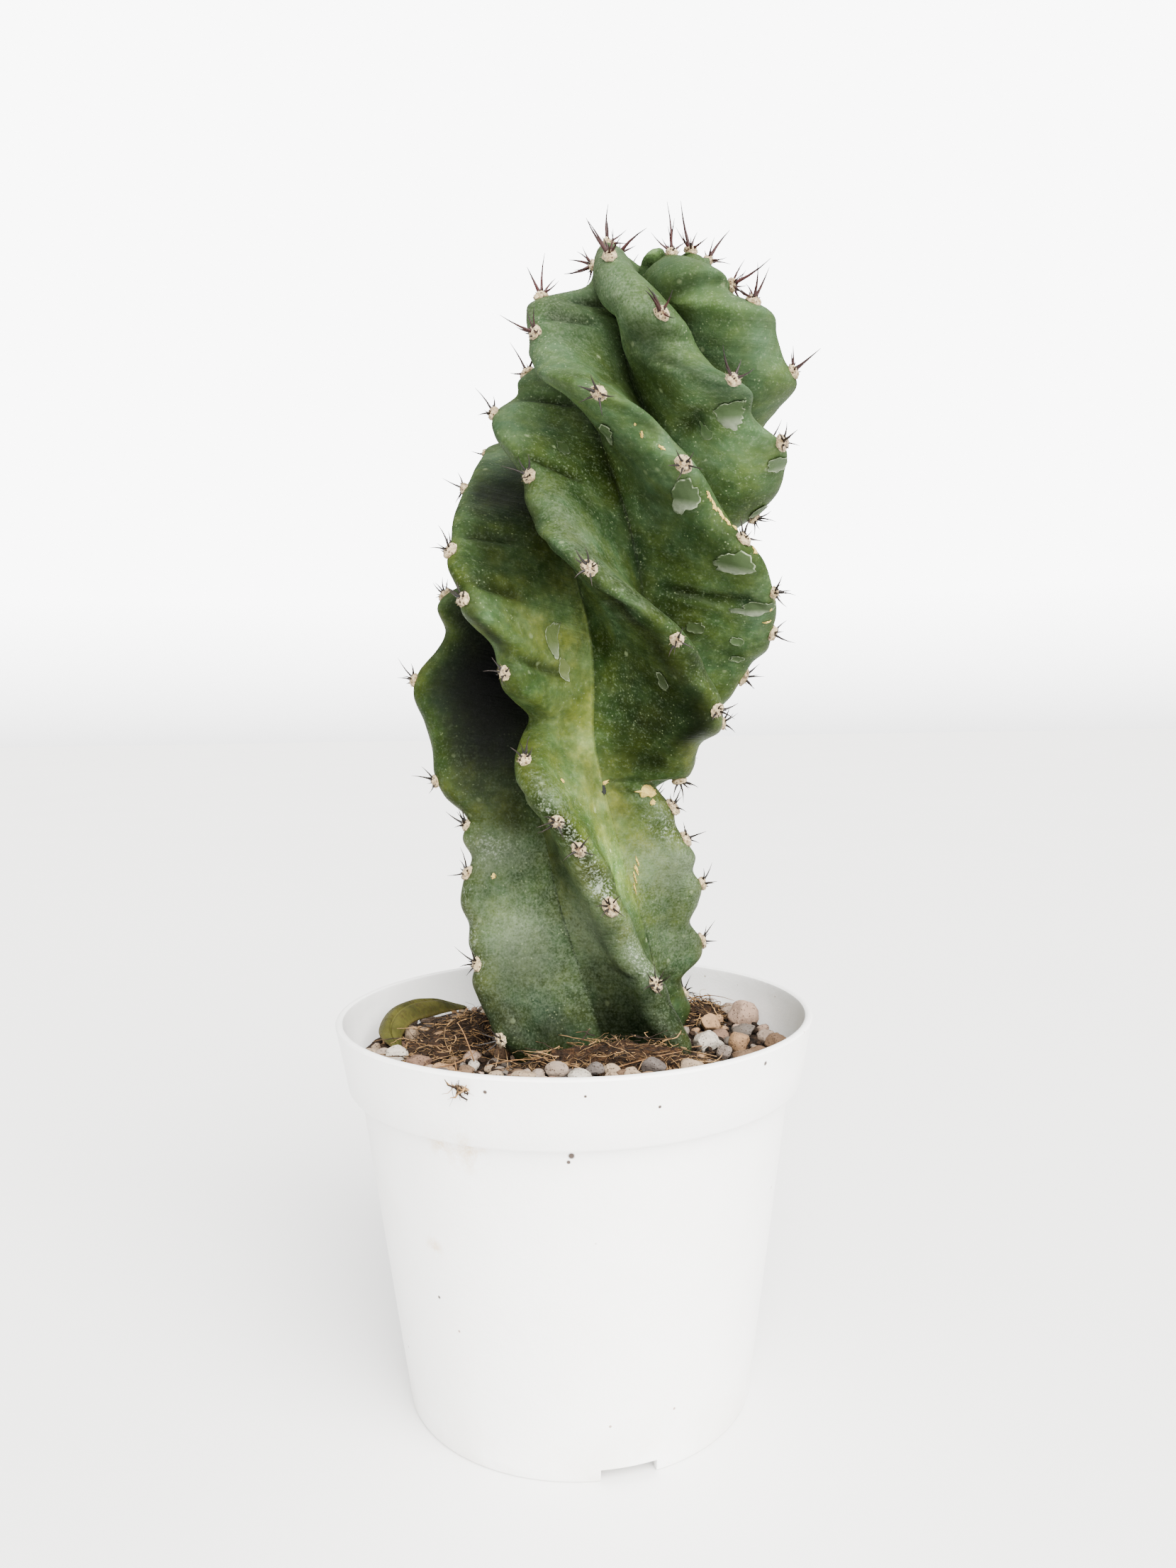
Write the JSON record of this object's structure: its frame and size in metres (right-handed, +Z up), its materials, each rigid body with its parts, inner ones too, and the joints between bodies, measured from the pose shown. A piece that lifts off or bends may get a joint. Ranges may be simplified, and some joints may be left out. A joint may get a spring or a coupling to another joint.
{
  "type": "potted spiral cactus",
  "caption": "Blue-green columnar cactus with twisted, notched ribs and spiny areoles, standing in coarse pumice in a round white nursery pot.",
  "frame": {"origin": "on the pot's axis, on the surface that the pot stands on", "axes": "+Z up along the pot, -Y towards the viewer of the picture, +X to the viewer's right"},
  "size_m": [0.1524, 0.1506, 0.3722],
  "materials": {
    "white_plastic": "satin, faint grime",
    "cactus_skin": "waxy, with a pale bloom",
    "soil": "rough",
    "pumice": "rough, porous",
    "coir": "fibrous",
    "dry_leaf": "matt, leathery"
  },
  "bodies": {
    "root": {"pot": "white_plastic", "soil": "soil", "pumice": "pumice", "cactus": "cactus_skin", "coir_front": "coir", "coir_left": "coir", "coir_back": "coir", "dry_leaf": "dry_leaf"}
  },
  "joints": []
}
